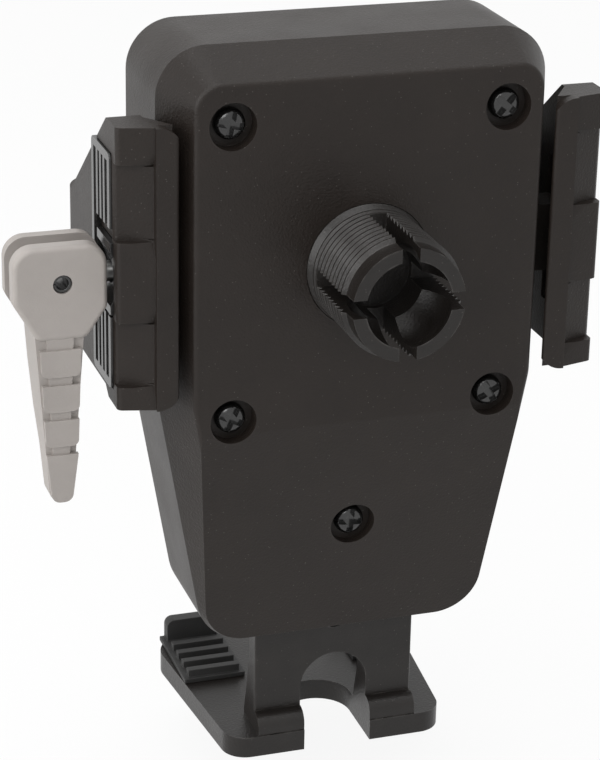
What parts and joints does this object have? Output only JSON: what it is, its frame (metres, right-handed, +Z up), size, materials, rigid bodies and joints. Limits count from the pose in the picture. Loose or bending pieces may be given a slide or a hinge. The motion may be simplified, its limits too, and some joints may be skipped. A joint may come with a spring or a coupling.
{
  "type": "phone holder",
  "caption": "Clamping phone cradle head for a 17 mm ball, with geared side jaws, a cam lever lock, a sliding foot with a cable arch and a split threaded socket.",
  "frame": {"origin": "Centre of the 17 mm ball that the socket holds.", "axes": "+Y runs from the ball towards the phone, square to the back cover; +Z runs up the body, away from the foot; +X is to the right for someone who looks at the back cover."},
  "size_m": [0.102, 0.071, 0.1331],
  "materials": {
    "black_shell": "fine spark texture",
    "black_nylon": "fine spark texture, slightly worn",
    "black_gloss": "polished",
    "grey_lever": "fine spark texture",
    "rubber": "moulded",
    "white_acetal": "as moulded",
    "black_steel": "black oxide, oiled",
    "steel": "plated",
    "brass": "turned"
  },
  "bodies": {
    "housing": {"back_cover": "black_shell", "front_shell": "black_shell", "cover_screws": "black_steel", "brass_inserts": "brass", "ball_socket": "black_nylon", "socket_screws": "steel", "phone_rest": "rubber", "guide_frame": "white_acetal", "guide_cap": "steel", "guide_screws": "steel", "pinion_axle": "steel", "return_spring": "steel", "foot_keeper": "steel", "keeper_screws": "steel", "foot_leaf_springs": "steel"},
    "left_clamp": {"left_jaw": "black_shell", "left_grip": "rubber", "left_cheek": "black_gloss", "left_arm": "black_nylon", "left_jaw_screws": "steel", "cam_saddle": "black_gloss", "brake_shoe": "steel"},
    "right_clamp": {"right_jaw": "black_shell", "right_grip": "rubber", "right_cheek": "black_gloss", "right_arm": "black_nylon", "right_jaw_screws": "steel"},
    "gear": {"pinion": "white_acetal"},
    "draw_bar": {"lock_rod": "steel", "lock_cone": "brass"},
    "lever": {"cam_lever": "grey_lever", "lever_pin": "black_steel"},
    "foot_carriage": {"foot": "black_nylon", "foot_pads": "rubber"}
  },
  "joints": [
    {"name": "left_jaw_slide", "type": "slide", "parent": "housing", "child": "left_clamp", "axis": [-1, 0, 0], "range_m": [0, 0.011], "stiffness_N_per_m": 120, "springref_m": -0.01},
    {"name": "right_jaw_slide", "type": "slide", "parent": "housing", "child": "right_clamp", "axis": [1, 0, 0], "range_m": [0, 0.011]},
    {"name": "pinion_spin", "type": "hinge", "parent": "housing", "child": "gear", "pos_m": [0, 0.0239, 0], "axis": [0, -1, 0], "range_deg": [0, 132]},
    {"name": "rod_slide", "type": "slide", "parent": "left_clamp", "child": "draw_bar", "axis": [1, 0, 0], "range_m": [0, 0.00081]},
    {"name": "lever_pivot", "type": "hinge", "parent": "draw_bar", "child": "lever", "pos_m": [-0.05095, 0.0239, 0], "axis": [0, 1, 0], "range_deg": [0, 90]},
    {"name": "foot_slide", "type": "slide", "parent": "housing", "child": "foot_carriage", "axis": [0, 0, -1], "range_m": [-0.008, 0.012]}
  ],
  "couplings": [
    {"joint": "right_jaw_slide", "follows": "left_jaw_slide", "ratio": 1},
    {"joint": "pinion_spin", "follows": "left_jaw_slide", "rad_per_m": 208.33},
    {"joint": "rod_slide", "follows": "lever_pivot", "m_per_rad": 0.0005093}
  ]
}
